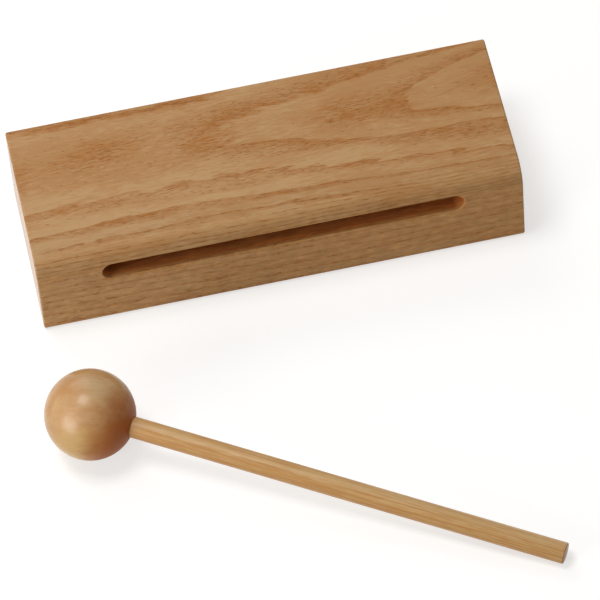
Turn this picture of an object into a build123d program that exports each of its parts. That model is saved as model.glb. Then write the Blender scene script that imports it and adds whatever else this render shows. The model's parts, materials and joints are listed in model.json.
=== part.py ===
from build123d import *
import os
from math import asin, atan2, cos, degrees, hypot, radians, sin, sqrt

# Woodblock with its beater, in millimetres.
# Origin at the centre of the block's bottom face, X along the block,
# Y from the slotted front face to the back, Z up.

# Block: one bar of hardwood, from the table up
base_thickness = 24.0  # solid wood under the slot
slot_height = 8.0  # one pass of the cutter
lip_thickness = 7.0  # the plate over the slot, where it is struck
block_length = 185.0
block_depth = 66.5
slot_length = 138.0  # over the round ends
slot_depth = 46.0  # blind, in from the front face
slot_shift = 1.0  # slot's centre from the block's middle, along X
striking_round = 9.0  # front edge of the top
long_edge_round = 2.0  # the other three long edges
end_ease = 0.7  # arris sanded round both sawn ends
mouth_ease = 0.3  # arris sanded round the slot's rim

# Beater: a turned ball on a plain dowel
head_diameter = 34.0
stick_diameter = 8.0
beater_length = 200.0  # over the ball and the stick
socket_depth = 20.0  # from the ball's mouth to the socket's floor
glue_gap = 0.05  # all round the stick, in the socket
glue_taper = 0.2  # the glued end is sanded this much smaller in radius
butt_ease = 0.5  # arris sanded round the stick's free end

# Where the beater lies, head and stick end on the table
beater_gap = 37.0  # from the block's front face to the ball
beater_inset = 9.0  # from the block's left end to the ball's centre
beater_heading = -30.4  # degrees from +X, seen from above

block_height = base_thickness + slot_height + lip_thickness
front_y = -block_depth / 2
slot_middle = base_thickness + slot_height / 2

head_radius = head_diameter / 2
stick_radius = stick_diameter / 2
socket_radius = stick_radius + glue_gap
mouth_reach = sqrt(head_radius**2 - socket_radius**2)  # ball's centre to its mouth
socket_floor = mouth_reach - socket_depth
stick_reach = beater_length - head_radius  # ball's centre to the stick's free end

# The ball and the rim of the stick's end both touch the table, so the stick slopes down
rim_reach = stick_reach - butt_ease
slope = asin(head_radius / hypot(rim_reach, stick_radius)) - atan2(stick_radius, rim_reach)
heading = radians(beater_heading)
stick_direction = Vector(cos(heading) * cos(slope), sin(heading) * cos(slope), -sin(slope))
across_stick = Vector(-sin(heading), cos(heading), 0)
head_centre = Vector(beater_inset - block_length / 2, front_y - beater_gap - head_radius, head_radius)
beater_axis = Axis(head_centre, stick_direction)
beater_plane = Plane(origin=head_centre, x_dir=stick_direction, z_dir=across_stick)

# The bar, moulded along its length, with a slot milled in from the front
with BuildPart() as block:
    with BuildSketch(Plane.YZ) as bar_section:
        Rectangle(block_depth, block_height, align=(Align.CENTER, Align.MIN))
        fillet(bar_section.vertices().group_by(Axis.Y)[-1].sort_by(Axis.X)[0], striking_round)
        sharp_corners = bar_section.vertices().group_by(Axis.Y)[0]
        sharp_corners += bar_section.vertices().group_by(Axis.X)[-1].sort_by(Axis.Y)[-1:]
        fillet(sharp_corners, long_edge_round)
    extrude(amount=block_length / 2, both=True)
    end_faces = block.faces().filter_by(Axis.X)
    chamfer(end_faces.edges(), end_ease)
    with BuildSketch(Plane.XZ.offset(-front_y)):
        with Locations((slot_shift, slot_middle)):
            SlotOverall(slot_length, slot_height)
    extrude(amount=-slot_depth, mode=Mode.SUBTRACT)
    slot_outlines = block.edges(Select.LAST).filter_by(Axis.Y, reverse=True)
    chamfer(slot_outlines.filter_by_position(Axis.Y, front_y, front_y + slot_depth / 2), mouth_ease)

# The ball, turned with its blind socket
with BuildPart() as beater_head:
    with BuildSketch(beater_plane):
        with BuildLine():
            mouth_angle = degrees(asin(socket_radius / head_radius))
            ball = CenterArc((0, 0), head_radius, mouth_angle, 180 - mouth_angle)
            Polyline(ball @ 1, (socket_floor, 0), (socket_floor, socket_radius), ball @ 0)
        make_face()
    revolve(axis=beater_axis)

# The dowel, its glued end eased to enter the socket and seated on the socket's floor
with BuildPart() as beater_stick:
    with BuildSketch(beater_plane):
        with BuildLine():
            Polyline(
                (socket_floor, 0),
                (socket_floor, stick_radius - glue_taper),
                (mouth_reach, stick_radius),
                (stick_reach, stick_radius),
                (stick_reach, 0),
                close=True,
            )
        make_face()
    revolve(axis=beater_axis)
    butt_rim = beater_stick.edges().filter_by(GeomType.CIRCLE).sort_by(beater_axis)[-1]
    chamfer(butt_rim, butt_ease)

os.makedirs("parts", exist_ok=True)
block.part.label = "block"
export_step(block.part, "parts/block.step")
beater_head.part.label = "beater_head"
export_step(beater_head.part, "parts/beater_head.step")
beater_stick.part.label = "beater_stick"
export_step(beater_stick.part, "parts/beater_stick.step")
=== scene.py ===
import json
from math import cos, hypot, pi, radians, sin

import bmesh
import bpy
from mathutils import Matrix, Quaternion, Vector


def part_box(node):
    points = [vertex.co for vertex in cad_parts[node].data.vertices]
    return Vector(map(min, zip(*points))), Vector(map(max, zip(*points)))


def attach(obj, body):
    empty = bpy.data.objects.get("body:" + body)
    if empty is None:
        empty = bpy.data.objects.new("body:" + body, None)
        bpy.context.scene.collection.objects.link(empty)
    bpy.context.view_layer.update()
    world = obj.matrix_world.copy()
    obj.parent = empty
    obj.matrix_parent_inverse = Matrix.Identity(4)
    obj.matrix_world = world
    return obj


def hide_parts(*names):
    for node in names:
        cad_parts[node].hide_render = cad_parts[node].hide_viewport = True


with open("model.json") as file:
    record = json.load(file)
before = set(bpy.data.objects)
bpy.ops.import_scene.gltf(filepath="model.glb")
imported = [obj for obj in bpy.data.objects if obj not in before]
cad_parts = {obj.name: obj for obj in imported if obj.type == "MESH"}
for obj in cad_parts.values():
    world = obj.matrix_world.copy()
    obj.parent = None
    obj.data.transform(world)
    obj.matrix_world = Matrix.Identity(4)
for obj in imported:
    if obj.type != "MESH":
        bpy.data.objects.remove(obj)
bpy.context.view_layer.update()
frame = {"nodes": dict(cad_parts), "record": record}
mm = 0.001
tiny = 0.001 * mm  # places nearer to each other than this are one
print("frame loaded:", ", ".join(sorted(frame["nodes"])))


# modelling helpers: each one works on what is selected, as by hand

def startClean():
    bpy.ops.object.select_all(action="DESELECT")


def startPick(piece, kind):
    bpy.ops.mesh.select_mode(type=kind)
    bpy.ops.mesh.select_all(action="DESELECT")
    return bmesh.from_edit_mesh(piece.data)


def pickEdges(piece, test):
    shape = startPick(piece, "EDGE")
    for edge in shape.edges:
        if test(edge.verts[0].co, edge.verts[1].co):
            edge.select_set(True)
    bmesh.update_edit_mesh(piece.data)


def pickFaces(piece, test):
    shape = startPick(piece, "FACE")
    for face in shape.faces:
        if test(face.calc_center_median()):
            face.select_set(True)
    bmesh.update_edit_mesh(piece.data)


def pickVerts(piece, test):
    shape = startPick(piece, "VERT")
    for vert in shape.verts:
        if test(vert.co):
            vert.select_set(True)
    shape.select_flush(True)
    bmesh.update_edit_mesh(piece.data)


def roundOff(size, steps):
    bpy.ops.mesh.bevel(offset=size, offset_type="OFFSET", segments=steps, profile=0.5, affect="EDGES",
                       clamp_overlap=False)


def closeUp(piece, smoothAngle):
    # doubles merged, faces outwards, then shaded smooth but for the hard edges
    bpy.ops.object.mode_set(mode="EDIT")
    bpy.ops.mesh.select_all(action="SELECT")
    bpy.ops.mesh.remove_doubles(threshold=tiny)
    bpy.ops.mesh.normals_make_consistent(inside=False)
    bpy.ops.object.mode_set(mode="OBJECT")
    bpy.ops.object.shade_smooth_by_angle(angle=radians(smoothAngle))


# block: a bar with a rounded striking edge and a slot milled in from the front

blockShape = {
    "strikingRound": 9 * mm,
    "strikingSteps": 10,
    "longRound": 2 * mm,  # the other three long edges
    "longSteps": 6,
    "endRound": 0.7 * mm,  # sanded round both sawn ends
    "slotFrom": -68 * mm,
    "slotTo": 70 * mm,
    "slotFloor": 24 * mm,
    "slotRoof": 32 * mm,
    "slotDepth": 46 * mm,
    "mouthRound": 0.4 * mm,
    "sandedSteps": 3,  # in the rounds of the ends and the mouth
    "cutterSides": 60,
    "cutterOut": 10 * mm,  # how far the cutter stands out of the front
    "cutterSlack": 0.03 * mm,  # its flats lie this near to its true outline
    "smoothAngle": 32,
}

startClean()
low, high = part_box("block")
middle = (low + high) / 2
bpy.ops.mesh.primitive_cube_add(size=1, location=middle, scale=high - low)
blockBar = bpy.context.object
blockBar.name = "blockBar"
bpy.ops.object.transform_apply(location=True, rotation=True, scale=True)
bpy.ops.object.mode_set(mode="EDIT")


def alongBar(a, b):
    return abs(a.x - b.x) > (high.x - low.x) / 2


def inCorner(v):
    # in a corner of the sawn bar's section
    return min(v.y - low.y, high.y - v.y) < tiny and min(v.z - low.z, high.z - v.z) < tiny


def onEndFace(v):
    return min(v.x - low.x, high.x - v.x) < tiny


pickEdges(blockBar, lambda a, b: alongBar(a, b) and a.y < 0 and a.z > middle.z)
roundOff(blockShape["strikingRound"], blockShape["strikingSteps"])
# the three square long edges are all that still lies in a corner
pickEdges(blockBar, lambda a, b: alongBar(a, b) and inCorner(a))
roundOff(blockShape["longRound"], blockShape["longSteps"])
pickEdges(blockBar, lambda a, b: onEndFace(a) and onEndFace(b) and not alongBar(a, b))
roundOff(blockShape["endRound"], blockShape["sandedSteps"])
bpy.ops.object.mode_set(mode="OBJECT")

# the cutter: a round bar, one half of it pulled along to the slot's far end
startClean()
slotRadius = (blockShape["slotRoof"] - blockShape["slotFloor"]) / 2
slotHeight = (blockShape["slotRoof"] + blockShape["slotFloor"]) / 2
nearEnd = blockShape["slotFrom"] + slotRadius
run = blockShape["slotTo"] - blockShape["slotFrom"] - 2 * slotRadius
cutterLength = blockShape["slotDepth"] + blockShape["cutterOut"]
bpy.ops.mesh.primitive_cylinder_add(vertices=blockShape["cutterSides"], radius=slotRadius, depth=cutterLength,
                                    location=(0, 0, 0), rotation=(0, 0, pi / blockShape["cutterSides"]))
cutter = bpy.context.object
bpy.ops.object.transform_apply(location=True, rotation=True, scale=True)
cutter.rotation_euler = (pi / 2, 0, 0)
cutter.location = (nearEnd, low.y - blockShape["cutterOut"] + cutterLength / 2, slotHeight)
bpy.ops.object.transform_apply(location=True, rotation=True, scale=True)
bpy.ops.object.mode_set(mode="EDIT")
pickVerts(cutter, lambda v: v.x > nearEnd)
bpy.ops.transform.translate(value=(run, 0, 0))
bpy.ops.object.mode_set(mode="OBJECT")

startClean()
blockBar.select_set(True)
bpy.context.view_layer.objects.active = blockBar
milled = blockBar.modifiers.new("milled", "BOOLEAN")
milled.operation = "DIFFERENCE"
milled.solver = "EXACT"
milled.object = cutter
bpy.ops.object.modifier_apply(modifier="milled")
bpy.data.objects.remove(cutter)


def onMouth(v):
    # on the slot's outline, seen from the front, and at the front
    past = max(nearEnd - v.x, v.x - nearEnd - run, 0)
    offOutline = abs(hypot(past, v.z - slotHeight) - slotRadius)
    return offOutline < blockShape["cutterSlack"] and v.y < low.y + blockShape["mouthRound"]


bpy.ops.object.mode_set(mode="EDIT")
pickEdges(blockBar, lambda a, b: onMouth(a) and onMouth(b))
roundOff(blockShape["mouthRound"], blockShape["sandedSteps"])
bpy.ops.object.mode_set(mode="OBJECT")
closeUp(blockBar, blockShape["smoothAngle"])
evenShade = blockBar.modifiers.new("evenShade", "WEIGHTED_NORMAL")
evenShade.keep_sharp = True
bpy.ops.object.modifier_apply(modifier="evenShade")
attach(blockBar, "block")
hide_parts("block")
print("block modelled:", len(blockBar.data.polygons), "faces")


# beater: modelled upright on the origin, then laid where the solids lie

grip = [mount for mount in frame["record"]["mounts"] if mount["name"] == "stick_grip"][0]
stickWay = Vector(grip["axis"]).normalized()
stickRadius = grip["dims"]["r_mm"] * mm
headLow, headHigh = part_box("beater_head")
headCentre = (headLow + headHigh) / 2
headRadius = (headHigh.z - headLow.z) / 2
layDown = Matrix.Translation(headCentre) @ stickWay.to_track_quat("Z", "Y").to_matrix().to_4x4()


def layBeater(piece):
    piece.matrix_world = layDown
    bpy.ops.object.transform_apply(location=True, rotation=True, scale=True)


headShape = {
    "sides": 96,
    "rings": 64,
    "glueGap": 0.05 * mm,  # all round the stick, in the socket
    "socketDepth": 20 * mm,
    "capMargin": 0.2 * mm,  # the cap that is cut away is this much wider than the socket
    "mouthRound": 0.25 * mm,
    "mouthSteps": 3,
    "smoothAngle": 40,
}

startClean()
bpy.ops.mesh.primitive_uv_sphere_add(segments=headShape["sides"], ring_count=headShape["rings"],
                                     radius=headRadius)
headBall = bpy.context.object
headBall.name = "headBall"
socketRadius = stickRadius + headShape["glueGap"]
mouthHeight = (headRadius ** 2 - socketRadius ** 2) ** 0.5


def onRim(a, b):
    level = abs(a.z - b.z) < tiny
    return level and a.z > 0 and hypot(a.x, a.y) < socketRadius + 2 * headShape["capMargin"]


bpy.ops.object.mode_set(mode="EDIT")
# the cap over the socket goes, and its rim is drawn down as the socket's wall
pickFaces(headBall, lambda c: c.z > 0 and hypot(c.x, c.y) < socketRadius + headShape["capMargin"])
bpy.ops.mesh.delete(type="FACE")
pickEdges(headBall, onRim)
rim = [v.co for v in bmesh.from_edit_mesh(headBall.data).verts if v.select]
squeeze = socketRadius / hypot(rim[0].x, rim[0].y)
rise = mouthHeight - rim[0].z
bpy.ops.transform.resize(value=(squeeze, squeeze, 1))
bpy.ops.transform.translate(value=(0, 0, rise))
bpy.ops.mesh.extrude_region_move(TRANSFORM_OT_translate={"value": (0, 0, -headShape["socketDepth"])})
bpy.ops.mesh.edge_face_add()
pickEdges(headBall, lambda a, b: abs(a.z - mouthHeight) < tiny and abs(b.z - mouthHeight) < tiny)
roundOff(headShape["mouthRound"], headShape["mouthSteps"])
bpy.ops.object.mode_set(mode="OBJECT")
closeUp(headBall, headShape["smoothAngle"])
layBeater(headBall)
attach(headBall, "beater")
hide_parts("beater_head")

stickShape = {
    "sides": 64,
    "end": 183 * mm,  # from the ball's centre
    "gluedTaper": 0.2 * mm,
    "buttRound": 0.5 * mm,
    "buttSteps": 4,
    "smoothAngle": 40,
}

startClean()
socketFloor = mouthHeight - headShape["socketDepth"]
stickLength = stickShape["end"] - socketFloor
bpy.ops.mesh.primitive_cylinder_add(vertices=stickShape["sides"], radius=stickRadius, depth=stickLength,
                                    location=(0, 0, socketFloor + stickLength / 2))
stickDowel = bpy.context.object
stickDowel.name = "stickDowel"
bpy.ops.object.transform_apply(location=True, rotation=True, scale=True)
bpy.ops.object.mode_set(mode="EDIT")
bpy.ops.mesh.select_all(action="SELECT")
bpy.ops.mesh.bisect(plane_co=(0, 0, mouthHeight), plane_no=(0, 0, 1))
pickVerts(stickDowel, lambda v: v.z < socketFloor + tiny)
thinner = 1 - stickShape["gluedTaper"] / stickRadius
bpy.ops.transform.resize(value=(thinner, thinner, 1))
pickEdges(stickDowel, lambda a, b: min(a.z, b.z) > stickShape["end"] - tiny)
roundOff(stickShape["buttRound"], stickShape["buttSteps"])
bpy.ops.object.mode_set(mode="OBJECT")
closeUp(stickDowel, stickShape["smoothAngle"])
layBeater(stickDowel)
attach(stickDowel, "beater")
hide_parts("beater_stick")
print("beater modelled:", len(headBall.data.polygons), "and", len(stickDowel.data.polygons), "faces")


# node helpers

def feed(tree, socket, value):
    if isinstance(value, bpy.types.NodeSocket):
        tree.links.new(value, socket)
    else:
        socket.default_value = value


def work(tree, operation, *values):
    node = tree.nodes.new("ShaderNodeMath")
    node.operation = operation
    for socket, value in zip(node.inputs, values):
        feed(tree, socket, value)
    return node.outputs[0]


def times(tree, first, *more):
    for value in more:
        first = work(tree, "MULTIPLY", first, value)
    return first


def plus(tree, first, *more):
    for value in more:
        first = work(tree, "ADD", first, value)
    return first


def minus(tree, first, second):
    return work(tree, "SUBTRACT", first, second)


def reach(tree, first, second):
    # the long side of a right-angled triangle
    return work(tree, "SQRT", work(tree, "MULTIPLY_ADD", first, first, times(tree, second, second)))


def fallOff(tree, squared):
    return work(tree, "EXPONENT", times(tree, squared, -1))


def bell(tree, value, middle, halfWidth):
    # 1 in the middle, falling off smoothly to both sides
    away = work(tree, "DIVIDE", minus(tree, value, middle), halfWidth)
    return fallOff(tree, times(tree, away, away))


def between(tree, value, fromLow, fromHigh, toLow=0.0, toHigh=1.0, smooth=True):
    node = tree.nodes.new("ShaderNodeMapRange")
    node.interpolation_type = "SMOOTHSTEP" if smooth else "LINEAR"
    for socket, number in zip(node.inputs, (value, fromLow, fromHigh, toLow, toHigh)):
        feed(tree, socket, number)
    return node.outputs[0]


def spread(tree, mask, toLow, toHigh):
    return between(tree, mask, 0, 1, toLow, toHigh, smooth=False)


def vectorWork(tree, operation, *values):
    node = tree.nodes.new("ShaderNodeVectorMath")
    node.operation = operation
    for socket, value in zip(node.inputs, values):
        feed(tree, socket, value)
    return node.outputs["Value" if operation == "DOT_PRODUCT" else "Vector"]


def moved(tree, place, way):
    return vectorWork(tree, "ADD", place, way)


def joinXyz(tree, x, y, z):
    node = tree.nodes.new("ShaderNodeCombineXYZ")
    for socket, value in zip(node.inputs, (x, y, z)):
        feed(tree, socket, value)
    return node.outputs[0]


def splitXyz(tree, place):
    node = tree.nodes.new("ShaderNodeSeparateXYZ")
    tree.links.new(place, node.inputs[0])
    return node.outputs[0], node.outputs[1], node.outputs[2]


def noiseAt(tree, place, along, across, shift=0, detail=2, roughness=0.5):
    # noise in steps of along and across the grain, in mm
    steps = vectorWork(tree, "DIVIDE", place, joinXyz(tree, along, across, across))
    node = tree.nodes.new("ShaderNodeTexNoise")
    node.inputs["Scale"].default_value = 1
    node.inputs["Detail"].default_value = detail
    node.inputs["Roughness"].default_value = roughness
    tree.links.new(moved(tree, steps, (shift, shift * 0.7, -shift * 1.3)), node.inputs["Vector"])
    return node.outputs[0]


def sway(tree, place, along, across, shift=0, detail=2):
    # the same noise, to both sides of 0
    return minus(tree, noiseAt(tree, place, along, across, shift, detail), 0.5)


def spotsOn(tree, place, spots, level, depth):
    # soft spots on one side of a piece, each with its X, Y, half length, half width and strength
    total = 0
    for middleX, middleY, halfLength, halfWidth, strength in spots:
        away = vectorWork(tree, "SUBTRACT", place, (middleX, middleY, level))
        away = vectorWork(tree, "DIVIDE", away, (halfLength, halfWidth, depth))
        spot = fallOff(tree, vectorWork(tree, "DOT_PRODUCT", away, away))
        total = work(tree, "MULTIPLY_ADD", spot, strength, total)
    return total


def mixColour(tree, amount, first, second, way="MIX"):
    node = tree.nodes.new("ShaderNodeMix")
    node.data_type = "RGBA"
    node.blend_type = way
    feed(tree, node.inputs[0], amount)
    feed(tree, node.inputs[6], first)
    feed(tree, node.inputs[7], second)
    return node.outputs[2]


def shadeBy(tree, colour, amount):
    return mixColour(tree, 1.0, colour, joinXyz(tree, amount, amount, amount), "MULTIPLY")


def ramp(tree, value, stops):
    node = tree.nodes.new("ShaderNodeValToRGB")
    node.color_ramp.interpolation = "LINEAR"
    while len(node.color_ramp.elements) < len(stops):
        node.color_ramp.elements.new(0.5)
    for element, (place, shade) in zip(node.color_ramp.elements, stops):
        element.position = place
        element.color = (shade, shade, shade, 1)
    feed(tree, node.inputs[0], value)
    return node.outputs[0]


def fromSrgb(red, green, blue):
    def straight(value):
        value /= 255
        return value / 12.92 if value < 0.04045 else ((value + 0.055) / 1.055) ** 2.4
    return straight(red), straight(green), straight(blue), 1


def newGroup(name, inputs, outputs):
    tree = bpy.data.node_groups.new(name, "ShaderNodeTree")
    for label, kind, value in inputs:
        socket = tree.interface.new_socket(label, in_out="INPUT", socket_type="NodeSocket" + kind)
        socket.default_value = value
    for label in outputs:
        tree.interface.new_socket(label, in_out="OUTPUT", socket_type="NodeSocketFloat")
    return tree, tree.nodes.new("NodeGroupInput").outputs, tree.nodes.new("NodeGroupOutput").inputs


def useGroup(tree, group, **values):
    node = tree.nodes.new("ShaderNodeGroup")
    node.node_tree = group
    for label, value in values.items():
        feed(tree, node.inputs[label], value)
    return node.outputs


# year rings round the pith, which runs along X through the place's origin; all in mm
ringStops = {
    "lead": [(0, 0), (0.94, 0), (1, 0.9)],  # the soft start of the next ring
    "band": [(0, 0.95), (0.06, 1), (0.16, 0.7), (0.4, 0.5), (0.55, 0.34), (0.7, 0.06), (0.9, 0)],
    "vessels": [(0, 0.9), (0.08, 1), (0.3, 0.75), (0.55, 0.4), (0.7, 0.1), (0.9, 0)],
}
ringInputs = [("Place", "Vector", (0, 0, 0)), ("Width", "Float", 3), ("Start", "Float", 0),
              ("Waver", "Float", 1), ("Ripple", "Float", 0.8), ("Latewood", "Float", 1)]
tree, given, out = newGroup("yearRings", ringInputs, ["Earlywood", "Vessels", "Tint"])
ringTree = tree
place = given["Place"]
y, z = splitXyz(tree, place)[1:]
waver = times(tree, sway(tree, place, 55, 11, detail=1), given["Waver"])
ripple = times(tree, sway(tree, place, 12, 2.4, 4.2, detail=3), given["Ripple"])
count = minus(tree, plus(tree, reach(tree, y, z), plus(tree, waver, ripple)), given["Start"])
count = work(tree, "DIVIDE", count, given["Width"])
part = work(tree, "FRACT", count)
lead = ramp(tree, part, ringStops["lead"])
part = times(tree, part, given["Latewood"])
band = work(tree, "MAXIMUM", ramp(tree, part, ringStops["band"]), lead)
vessels = work(tree, "MAXIMUM", ramp(tree, part, ringStops["vessels"]), lead)
# the dark part of a ring comes and goes along the grain
patches = noiseAt(tree, place, 26, 5, 9.1)
breaks = noiseAt(tree, place, 5, 0.8, 1.7)
band = times(tree, band, between(tree, patches, 0.36, 0.58, 0.6, 1.05))
band = times(tree, band, between(tree, breaks, 0.34, 0.64, 0.6, 1.15))
yearNoise = tree.nodes.new("ShaderNodeTexWhiteNoise")
yearNoise.noise_dimensions = "1D"
tree.links.new(work(tree, "FLOOR", count), yearNoise.inputs["W"])
tree.links.new(band, out["Earlywood"])
tree.links.new(vessels, out["Vessels"])
tree.links.new(yearNoise.outputs["Value"], out["Tint"])

# open pores: short dark dashes along X, more of them where Amount is high
poreInputs = [("Place", "Vector", (0, 0, 0)), ("Length", "Float", 4), ("Width", "Float", 0.35),
              ("Amount", "Float", 0.5)]
tree, given, out = newGroup("openPores", poreInputs, ["Pores"])
poreTree = tree
dashes = noiseAt(tree, given["Place"], given["Length"], given["Width"], 2.6, detail=1)
edge = minus(tree, 0.68, times(tree, given["Amount"], 0.17))
tree.links.new(between(tree, dashes, edge, plus(tree, edge, 0.15)), out["Pores"])

# fibres: fine pale and dark streaks along X
fibreInputs = [("Place", "Vector", (0, 0, 0)), ("Length", "Float", 18), ("Width", "Float", 0.5)]
tree, given, out = newGroup("fibreStreaks", fibreInputs, ["Streaks"])
fibreTree = tree
streaks = noiseAt(tree, given["Place"], given["Length"], given["Width"], 7.7, detail=3, roughness=0.6)
tree.links.new(between(tree, streaks, 0.28, 0.72, smooth=False), out["Streaks"])


def poresOn(tree, place, size, amount):
    length, width = size
    return useGroup(tree, poreTree, Place=place, Length=length, Width=width, Amount=amount)["Pores"]


def streaksOn(tree, place, size):
    length, width = size
    return useGroup(tree, fibreTree, Place=place, Length=length, Width=width)["Streaks"]


def newWood(name):
    wood = bpy.data.materials.new(name)
    wood.use_nodes = True
    return wood, wood.node_tree, wood.node_tree.nodes["Principled BSDF"]


def placeOn(tree, location=(0, 0, 0), turn=(0, 0, 0)):
    # object coordinates in mm, centred and turned for the piece
    source = tree.nodes.new("ShaderNodeTexCoord")
    mapping = tree.nodes.new("ShaderNodeMapping")
    mapping.vector_type = "TEXTURE"
    mapping.inputs["Location"].default_value = location
    mapping.inputs["Rotation"].default_value = turn
    mapping.inputs["Scale"].default_value = (mm, mm, mm)
    tree.links.new(source.outputs["Object"], mapping.inputs["Vector"])
    return mapping.outputs[0]


def addBump(tree, shader, height, depth):
    bump = tree.nodes.new("ShaderNodeBump")
    bump.inputs["Strength"].default_value = 1
    bump.inputs["Distance"].default_value = depth
    tree.links.new(height, bump.inputs["Height"])
    tree.links.new(bump.outputs[0], shader.inputs["Normal"])


def dressIn(piece, wood):
    piece.data.materials.clear()
    piece.data.materials.append(wood)


# the block's wood: flat-sawn, ring-porous, under a satin varnish; places and sizes in mm
blockLook = {
    "pale": fromSrgb(186, 147, 103),
    "middle": fromSrgb(177, 132, 85),
    "dark": fromSrgb(162, 104, 45),
    "pore": fromSrgb(141, 80, 29),
    "paintedWarmShade": (1, 0.975, 0.93, 1),  # painted warm shade: the front is a little warmer, but for its left end
    "inSlot": (0.98, 0.63, 0.37, 1),  # inside the slot: bare wood, with painted shade and warm bounce light, against the rest
    "slotDark": (0.86, 0.83, 0.81, 1),  # and its clouds
    "slotLight": (1.13, 1.13, 1.13, 1),
    "paintedRimGlint": fromSrgb(204, 146, 78),  # painted highlight along the slot's rim, golden
    "pithBack": 12,  # the pith's line: behind the middle, this far under the top, and a little aslant
    "pithUnder": 72,
    "pithSlant": 0.0166,
    "climbFrom": -10,  # the pith climbs from here to the right, after a soft bend
    "climbBend": 25,
    "climbRate": 0.023,
    "ringWidth": 3,
    "ringStart": 2.75,
    "ringWaver": 1.4,
    "topPores": (2.8, 0.4),  # length and width of a pore or a streak
    "frontPores": (1.7, 0.85),
    "edgePores": (3, 0.6),
    "fibres": (14, 0.5),
    "mottle": (5, 0.9),
    # where the inner rings lie nearer the front: X, Y from the pith, half length, half width and how far
    "lean": [(42, 0, 30, 15, 4.5)],
    # darker figure along the pith's line: X, Y, half length, half width and strength
    "figure": [(-91, 9, 5, 9, 0.8), (-57, 14, 16, 7, 0.95), (-75, 10, 12, 8, 0.4), (-20, 10, 12, 8, 0.95),
               (34, 10.5, 13, 7.5, 0.95), (52, 10.5, 8, 8, 0.6), (91, 11, 4, 6, 0.8), (-27, 30, 12, 2, 1.35),
               (-62, 30.5, 26, 1.6, 1.2)],
    "gloss": 0.2,
    "grainDepth": 0.06 * mm,
}
blockWood, tree, shader = newWood("blockWood")
place = placeOn(tree)
x, y, z = splitXyz(tree, place)
inward = minus(tree, y, low.y / mm)  # from the front face
topZ = high.z / mm
edgeRound = blockShape["strikingRound"] / mm

# the tree's taper: the pith climbs towards the top past the middle, so the rings run out in two arches
past = minus(tree, x, blockLook["climbFrom"])
climb = times(tree, plus(tree, reach(tree, past, blockLook["climbBend"]), past), blockLook["climbRate"])
pithHeight = plus(tree, climb, topZ - blockLook["pithUnder"])
# the outer rings are closer together towards the right, so they carry on along the striking edge
sink = times(tree, between(tree, inward, 5, 12, 1, 0), between(tree, x, -60, 60, 0, 1.5))
pithHeight = minus(tree, pithHeight, sink)
pithLine = plus(tree, times(tree, x, blockLook["pithSlant"]), blockLook["pithBack"])
fromPith = minus(tree, y, pithLine)
fromPith = plus(tree, fromPith, spotsOn(tree, joinXyz(tree, x, fromPith, 0), blockLook["lean"], 0, 1))
# two years are narrow near the top, one to the right and one to the left, and their rings' limbs are drawn in
offPith = work(tree, "ABSOLUTE", fromPith)
limbAt = plus(tree, times(tree, x, 0.148), 6.2)
rightLimb = bell(tree, offPith, limbAt, between(tree, x, 40, 90, 6, 4.3))
rightLimb = times(tree, rightLimb, between(tree, x, -10, 95, 0, 1.6, smooth=False))
leftLimb = times(tree, bell(tree, offPith, 19.5, 5), between(tree, x, 15, 60, 0.65, 0))
drawn = times(tree, plus(tree, rightLimb, leftLimb), between(tree, z, topZ - 12, topZ - 2))
# the second arch has a blunt, ragged end
bluntAt = plus(tree, times(tree, sway(tree, place, 7, 2.5, 3.9), 7), x)
blunt = times(tree, bell(tree, fromPith, 0, 8), between(tree, bluntAt, 58, 62, 0, 0.55))
pithHeight = plus(tree, pithHeight, minus(tree, blunt, drawn))
inLog = joinXyz(tree, x, fromPith, minus(tree, z, pithHeight))
ripple = between(tree, offPith, 5, 26, 0.8, 2.1)
# a ring's dark part is narrow on the left, and narrowest where the striking edge is cut along the rings
leftLate = plus(tree, times(tree, bell(tree, inward, 14.25, 6), -0.45), 1.5)
edgeLate = between(tree, inward, 7, 13, between(tree, x, -30, 40, 0.7, 1.4), 0)
edgeLate = times(tree, edgeLate, between(tree, inward, 0.5, 3, 0.25, 1))
archLate = times(tree, between(tree, fromPith, -8, -3, 0.6, 0), between(tree, x, -10, 15))
late = times(tree, between(tree, x, -25, 25, leftLate, 1.1), plus(tree, 1, edgeLate))
late = plus(tree, late, archLate)
rings = useGroup(tree, ringTree, Place=inLog, Width=blockLook["ringWidth"], Start=blockLook["ringStart"],
                 Waver=blockLook["ringWaver"], Ripple=ripple, Latewood=late)

# the striking edge, rolled out: there the cut follows the rings, and the vessels show as rows along it
roundY = minus(tree, edgeRound, inward)
roundZ = minus(tree, z, topZ - edgeRound)
roundOut = reach(tree, roundY, roundZ)
rolled = times(tree, work(tree, "ARCTAN2", roundY, roundZ), edgeRound)
skin = between(tree, roundOut, edgeRound - 1.4, edgeRound - 0.4)
skin = times(tree, skin, between(tree, rolled, 13, 15, 1, 0))
pastStart = minus(tree, rolled, between(tree, x, -30, 40, 5.9, 2.2))
onRound = times(tree, skin, between(tree, pastStart, -0.9, 0.3))
rowPlace = plus(tree, rolled, times(tree, sway(tree, place, 22, 4, 6.1), 2.2))
rowCount = work(tree, "DIVIDE", minus(tree, rowPlace, 6.4), between(tree, x, -40, 60, 1.9, 1.35))
rows = work(tree, "COSINE", times(tree, rowCount, 2 * pi))
edgeRows = times(tree, between(tree, rows, 0.1, 1), onRound)
# the rings give way to these rows, and over the pith on the left of the top only the figure shows
faint = times(tree, bell(tree, fromPith, 0, 13), between(tree, z, topZ - 4, topZ - 0.5))
faint = times(tree, faint, between(tree, x, -42, -14, 0.75, 0))
faintOnEdge = times(tree, skin, between(tree, rolled, 1.8, 4.5, 0, 0.85))
shown = times(tree, minus(tree, 1, faint), minus(tree, 1, faintOnEdge))
earlywood = times(tree, rings["Earlywood"], shown)
vessels = times(tree, rings["Vessels"], shown)

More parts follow.
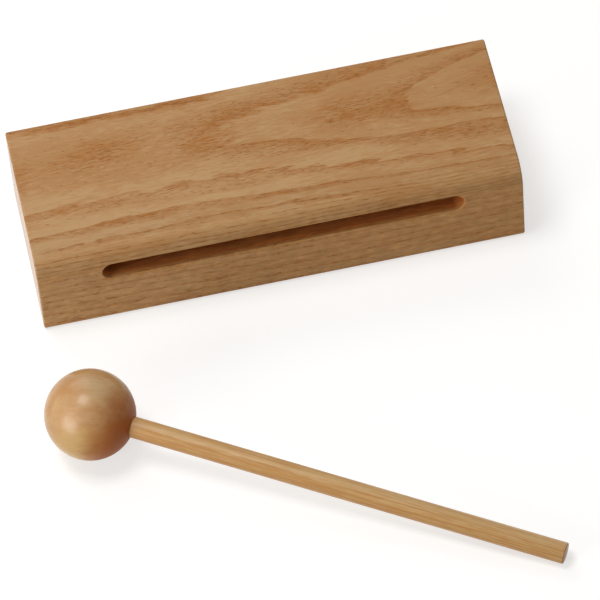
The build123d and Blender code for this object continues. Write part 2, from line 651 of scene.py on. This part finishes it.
# on the sawn front the rings are cut across: less tint, and short thick pores in rows
front = between(tree, inward, 0.3, 3, 1, 0)
figureX = times(tree, sway(tree, place, 9, 2.2, 11.3), 30)
figureY = times(tree, sway(tree, place, 12, 6, 14.9), 6)
swayed = moved(tree, place, joinXyz(tree, figureX, figureY, 0))
figure = spotsOn(tree, swayed, blockLook["figure"], topZ, 6)
topPores = poresOn(tree, place, blockLook["topPores"], work(tree, "MAXIMUM", vessels, figure))
topPores = times(tree, topPores, spread(tree, front, 0.6, 0.22))
frontAmount = plus(tree, times(tree, vessels, 1.1), 0.1)
frontPores = poresOn(tree, moved(tree, place, (13, 5, 9)), blockLook["frontPores"], frontAmount)
frontPores = times(tree, frontPores, front, between(tree, x, -30, 70, 0.47, 0.3))
edgePores = poresOn(tree, moved(tree, place, (5, 21, 3)), blockLook["edgePores"], times(tree, edgeRows, 1.2))
edgePores = times(tree, edgePores, onRound, between(tree, x, 30, 80, 0.47, 0.2))
pores = plus(tree, topPores, frontPores, edgePores)

# colour: pale and middling wood in flecks, then the dark of rings, figure and rows, then the pores
fibres = streaksOn(tree, place, blockLook["fibres"])
mottle = streaksOn(tree, moved(tree, place, (31, 17, 23)), blockLook["mottle"])
fleck = plus(tree, times(tree, mottle, 0.6), noiseAt(tree, place, 34, 9, 5.4))
fleck = plus(tree, fleck, between(tree, inward, 21.25, 41.25, -0.1, 0.16))
fleck = plus(tree, fleck, between(tree, x, -30, 50, -0.05, 0.05))
fleckOnEdge = times(tree, between(tree, inward, 7, 16, 0.12, 0), minus(tree, 1, front))
fleck = between(tree, plus(tree, fleck, fleckOnEdge), 0.55, 1.05)
colour = mixColour(tree, fleck, blockLook["pale"], blockLook["middle"])
yearly = times(tree, spread(tree, rings["Tint"], 0.7, 1), spread(tree, front, 1, 0.5))
figure = times(tree, figure, between(tree, mottle, 0.1, 0.9, 0.5, 1))
figure = times(tree, figure, between(tree, fibres, 0.2, 0.8, 0.65, 1.3))
darker = work(tree, "MAXIMUM", times(tree, earlywood, yearly), figure)
darker = plus(tree, darker, times(tree, edgeRows, 0.3))
colour = mixColour(tree, darker, colour, blockLook["dark"])
colour = mixColour(tree, pores, colour, blockLook["pore"])
# the front is blotchy and uneven; along the round there are a painted highlight and painted shade
blotches = times(tree, sway(tree, place, 4, 9), front, 0.25)
bumps = times(tree, sway(tree, place, 3.5, 1.6, detail=1), front)
uneven = between(tree, bumps, -0.3, 0.3, 0.85, 1.15, smooth=False)
# painted highlight: a pale streak along the round
paintedEdgeHighlight = times(tree, bell(tree, rolled, 4.3, 1.1), between(tree, x, -20, 70, 0.08, 0.03))
# painted shade: the round is darker below the streak, down to the slot
paintedEdgeShade = times(tree, between(tree, rolled, 6.5, 9.5), between(tree, rolled, 11.5, 13.5, 1, 0))
paintedEdgeShade = times(tree, paintedEdgeShade, between(tree, x, -70, -20, 0.1, 0.16))
paintedEdgeLight = plus(tree, times(tree, minus(tree, paintedEdgeHighlight, paintedEdgeShade), skin), 1)
# painted shade in a band along the top, where the round begins
paintedEdgeLight = plus(tree, paintedEdgeLight, times(tree, bell(tree, inward, edgeRound, 4.5), -0.065))
shade = times(tree, spread(tree, fibres, 0.925, 1.075), plus(tree, 1, blotches), uneven, paintedEdgeLight)
colour = shadeBy(tree, colour, shade)
# painted warm shade on the front, but for its left end
paintedWarmShadeMask = times(tree, front, between(tree, x, -50, 0))
colour = mixColour(tree, paintedWarmShadeMask, colour, blockLook["paintedWarmShade"], "MULTIPLY")

# the slot: how far a point is outside its outline, seen from the front, and how deep it lies
pastRun = work(tree, "ABSOLUTE", minus(tree, x, (nearEnd + run / 2) / mm))
pastRun = work(tree, "MAXIMUM", minus(tree, pastRun, run / 2 / mm), 0)
offSlot = minus(tree, reach(tree, pastRun, minus(tree, z, slotHeight / mm)), slotRadius / mm)
inSlot = times(tree, between(tree, inward, 0.2, 2.3), work(tree, "LESS_THAN", offSlot, 0.3),
               work(tree, "LESS_THAN", inward, blockShape["slotDepth"] / mm + 0.3))
slotClouds = between(tree, noiseAt(tree, place, 8, 2, 8.8), 0.35, 0.65)
slotShade = mixColour(tree, slotClouds, blockLook["slotDark"], blockLook["slotLight"])
# the slot's inside: bare wood with painted shade and warm bounce light, and clouds
slotColour = mixColour(tree, 1.0, colour, blockLook["inSlot"], "MULTIPLY")
slotColour = mixColour(tree, 1.0, slotColour, slotShade, "MULTIPLY")
# painted light in the slot: lighter near the mouth and towards its right end, with painted shade deeper in
paintedSlotLight = between(tree, inward, 0.4, 4.8, 1.45, 0.9)
paintedSlotLight = times(tree, paintedSlotLight, plus(tree, times(tree, bell(tree, x, 42, 20), 0.1), 1))
colour = mixColour(tree, inSlot, colour, shadeBy(tree, slotColour, paintedSlotLight))
# painted highlight: a pale golden line along the slot's rim
paintedRimHighlight = times(tree, between(tree, work(tree, "ABSOLUTE", offSlot), 0.15, 0.8, 1, 0),
               between(tree, inward, 0.5, 2.8, 1, 0), between(tree, mottle, 0.3, 0.8, 0.12, 0.5))
colour = mixColour(tree, paintedRimHighlight, colour, blockLook["paintedRimGlint"])
tree.links.new(colour, shader.inputs["Base Color"])

# the varnish is duller over open grain and in the slot, and glossier on the ends
atEnd = work(tree, "GREATER_THAN", work(tree, "ABSOLUTE", x), high.x / mm - 0.5)
dull = between(tree, plus(tree, pores, fibres), 0, 1.5, 0.46, 0.66, smooth=False)
dull = plus(tree, dull, times(tree, atEnd, -0.35), times(tree, inSlot, 0.25))
tree.links.new(dull, shader.inputs["Roughness"])
shader.inputs["Specular IOR Level"].default_value = blockLook["gloss"]
addBump(tree, shader, minus(tree, times(tree, fibres, 0.3), times(tree, pores, 2)), blockLook["grainDepth"])
dressIn(blockBar, blockWood)

# the ball's wood: close-grained, turned and varnished
headLook = {
    "pale": fromSrgb(194, 158, 114),
    "dark": fromSrgb(182, 134, 84),
    "light": fromSrgb(194, 167, 128),  # painted sheen, palest on top
    "gold": fromSrgb(200, 165, 108),  # a yellower streak low on the ball
    "paintedShadeRed": fromSrgb(158, 88, 35),  # painted shade: darker, redder colour towards the stick, away from the lamps
    "paintedGloss": fromSrgb(220, 183, 147),  # painted highlights: broad pale patches on the side
    "grainTurn": (radians(20), radians(4), radians(-11)),
    "fibres": (14, 0.9),
    "bands": (30, 3),
    # spots on the upper side, along and across the ball's own grain: darker wood, a painted sheen and painted
    # highlights
    "darkSpots": [(-8, 8.5, 5, 4, 0.5)],
    "paintedSheenSpots": [(1.2, 7.6, 3.6, 4, 0.62)],
    "paintedGlossSpots": [(-6.8, -6.6, 4.5, 5.6, 0.52), (-1, 0.5, 4, 3.5, 0.3)],
    "spotDepth": 12,
    "gloss": 0.24,
    "grainDepth": 0.01 * mm,
}
headWood, tree, shader = newWood("headWood")
place = placeOn(tree, headCentre, headLook["grainTurn"])
x, y = splitXyz(tree, place)[:2]
fibres = streaksOn(tree, place, headLook["fibres"])
bands = streaksOn(tree, place, headLook["bands"])
blotches = noiseAt(tree, place, 8, 6, 3.3)
drift = plus(tree, times(tree, blotches, 6), -3)
drifted = moved(tree, place, joinXyz(tree, drift, times(tree, drift, -0.7), 0))
darkSpots = spotsOn(tree, drifted, headLook["darkSpots"], 13, headLook["spotDepth"])
paintedSheenSpots = spotsOn(tree, drifted, headLook["paintedSheenSpots"], 15, headLook["spotDepth"])
paintedGlossSpots = spotsOn(tree, drifted, headLook["paintedGlossSpots"], 15, headLook["spotDepth"])
tone = times(tree, plus(tree, bands, between(tree, blotches, 0.35, 0.65)), 0.5)
colour = mixColour(tree, plus(tree, tone, darkSpots), headLook["pale"], headLook["dark"])
# painted sheen on top
colour = mixColour(tree, paintedSheenSpots, colour, headLook["light"])
# painted highlights on the side
colour = mixColour(tree, paintedGlossSpots, colour, headLook["paintedGloss"])
golden = between(tree, minus(tree, times(tree, blotches, 6), y), 9, 17, 0, 0.8)
colour = mixColour(tree, golden, colour, headLook["gold"])
# painted shade: darker and redder on the side towards the stick, away from the lamps
paintedShadeSide = plus(tree, minus(tree, x, times(tree, y, 0.63)), times(tree, blotches, 8))
paintedShadeSide = times(tree, between(tree, paintedShadeSide, 5, 21.5), between(tree, x, -8, 0))
colour = mixColour(tree, paintedShadeSide, colour, headLook["paintedShadeRed"])
colour = shadeBy(tree, colour, spread(tree, fibres, 0.955, 1.045))
tree.links.new(colour, shader.inputs["Base Color"])
dull = plus(tree, spread(tree, fibres, 0.2, 0.28), times(tree, paintedShadeSide, 0.25))
tree.links.new(dull, shader.inputs["Roughness"])
shader.inputs["Specular IOR Level"].default_value = headLook["gloss"]
addBump(tree, shader, fibres, headLook["grainDepth"])
dressIn(headBall, headWood)

# the stick's wood: long straight fibres, some of them darker lines
stickLook = {
    "pale": fromSrgb(203, 167, 114),
    "dark": fromSrgb(188, 139, 78),
    "line": fromSrgb(164, 102, 42),
    "butt": fromSrgb(146, 92, 54),  # the sawn end
    "fibres": (30, 0.5),
    "broad": (120, 2.2),
    "mottle": (9, 1.3),
    "lines": (40, 0.34),
    "gloss": 0.45,
    "grainDepth": 0.03 * mm,
}
sideWay = Vector((-stickWay.y, stickWay.x, 0)).normalized()
stickTurn = Matrix((stickWay, sideWay, stickWay.cross(sideWay))).transposed()
stickWood, tree, shader = newWood("stickWood")
place = placeOn(tree, headCentre, stickTurn.to_euler())
x, y, z = splitXyz(tree, place)
fibres = streaksOn(tree, place, stickLook["fibres"])
broad = streaksOn(tree, place, stickLook["broad"])
mottle = streaksOn(tree, moved(tree, place, (7, 3, 11)), stickLook["mottle"])
# painted shade makes the dowel darker and redder along its front side and painted light makes it paler
# behind; it is also paler towards its free end
across = plus(tree, times(tree, y, 0.83), times(tree, z, 0.557))
lines = poresOn(tree, place, stickLook["lines"], between(tree, across, -3, 2.5, 1.2, 0.7))
tone = plus(tree, times(tree, fibres, 0.6), times(tree, broad, 0.4))
# painted shade on the front side, painted light behind
tone = plus(tree, tone, between(tree, across, -3.2, 3, -0.32, 0.12))
tone = plus(tree, tone, between(tree, mottle, 0.1, 0.9, -0.3, 0.3))
tone = plus(tree, tone, between(tree, x, 20, 170, -0.14, 0.14))
colour = mixColour(tree, tone, stickLook["dark"], stickLook["pale"])
colour = mixColour(tree, times(tree, lines, 0.5), colour, stickLook["line"])
endX = stickShape["end"] / mm
colour = mixColour(tree, between(tree, x, endX - 0.45, endX - 0.1, 0, 0.8), colour, stickLook["butt"])
tree.links.new(colour, shader.inputs["Base Color"])
dull = between(tree, plus(tree, fibres, lines), 0, 2, 0.26, 0.48, smooth=False)
tree.links.new(dull, shader.inputs["Roughness"])
shader.inputs["Specular IOR Level"].default_value = stickLook["gloss"]
addBump(tree, shader, minus(tree, fibres, lines), stickLook["grainDepth"])
dressIn(stickDowel, stickWood)
print("woods made")


# studio: a floor that shows pale, a soft box overhead, a window-like one low on the left and one behind

studio = {
    "floorSize": 8,
    "floorColour": (0.5, 0.5, 0.5, 1),
    "floorBounce": (0.72, 0.62, 0.45, 1),  # a warm room: what the floor throws back on the wood
    "floorLift": 0.62,  # what is seen of the floor is lifted to white, and the shadows stay
    "floorDull": 0.9,
    "white": (1, 1, 1, 1),
    "worldLevel": (0.265, 0.25, 0.215, 1),
    # each light's name, its way and reach from the ball, its size and its power
    "lights": [("overheadBox", (-0.192, 0.100, 0.977), 1.2, 0.45, 6.15),
               ("sideBox", (-0.866, -0.452, 0.2145), 0.8, 0.45, 3.85),
               ("backBox", (-0.15, 0.8, 0.58), 1.2, 0.7, 4.2)],
}


def seenDirectly(tree):
    path = tree.nodes.new("ShaderNodeLightPath")
    seen = work(tree, "MAXIMUM", path.outputs["Is Camera Ray"], path.outputs["Is Glossy Ray"])
    return work(tree, "MAXIMUM", seen, path.outputs["Is Transmission Ray"])


startClean()
bpy.ops.mesh.primitive_plane_add(size=studio["floorSize"])
floor = bpy.context.object
floor.name = "floor"
floorPaper = bpy.data.materials.new("floorPaper")
floorPaper.use_nodes = True
tree = floorPaper.node_tree
shader = tree.nodes["Principled BSDF"]
floorShows = mixColour(tree, seenDirectly(tree), studio["floorBounce"], studio["floorColour"])
tree.links.new(floorShows, shader.inputs["Base Color"])
shader.inputs["Roughness"].default_value = studio["floorDull"]
shader.inputs["Specular IOR Level"].default_value = 0
shader.inputs["Emission Color"].default_value = studio["white"]
tree.links.new(times(tree, seenDirectly(tree), studio["floorLift"]), shader.inputs["Emission Strength"])
dressIn(floor, floorPaper)

world = bpy.data.worlds.new("studioWorld")
bpy.context.scene.world = world
world.use_nodes = True
tree = world.node_tree
backdrop = tree.nodes["Background"]
worldShows = mixColour(tree, seenDirectly(tree), studio["worldLevel"], studio["white"])
tree.links.new(worldShows, backdrop.inputs["Color"])
backdrop.inputs["Strength"].default_value = 1

for name, way, distance, size, power in studio["lights"]:
    way = Vector(way).normalized()
    lamp = bpy.data.lights.new(name, "AREA")
    lamp.shape = "SQUARE"
    lamp.size = size
    lamp.energy = power
    holder = bpy.data.objects.new(name, lamp)
    holder.location = headCentre + way * distance
    holder.rotation_euler = (-way).to_track_quat("-Z", "Y").to_euler()
    bpy.context.scene.collection.objects.link(holder)


# camera, from the photograph's edges

cameraSet = {
    "aim": (0.001685, -0.05705, 0.02),
    "reach": 2.06296,
    "azimuth": -7.30,
    "elevation": 53.87,
    "roll": 5.34,
    "lens": 333.43,
    "sensor": 36,
}
turn = radians(cameraSet["azimuth"])
tilt = radians(cameraSet["elevation"])
back = Vector((sin(turn) * cos(tilt), -cos(turn) * cos(tilt), sin(tilt)))
lens = bpy.data.cameras.new("photoCamera")
lens.sensor_width = cameraSet["sensor"]
lens.lens = cameraSet["lens"]
camera = bpy.data.objects.new("photoCamera", lens)
camera.location = Vector(cameraSet["aim"]) + back * cameraSet["reach"]
level = (-back).to_track_quat("-Z", "Y")
camera.rotation_euler = (level @ Quaternion((0, 0, 1), radians(-cameraSet["roll"]))).to_euler()
bpy.context.scene.collection.objects.link(camera)
bpy.context.scene.camera = camera
bpy.context.scene.view_settings.view_transform = "Standard"
print("studio and camera set")
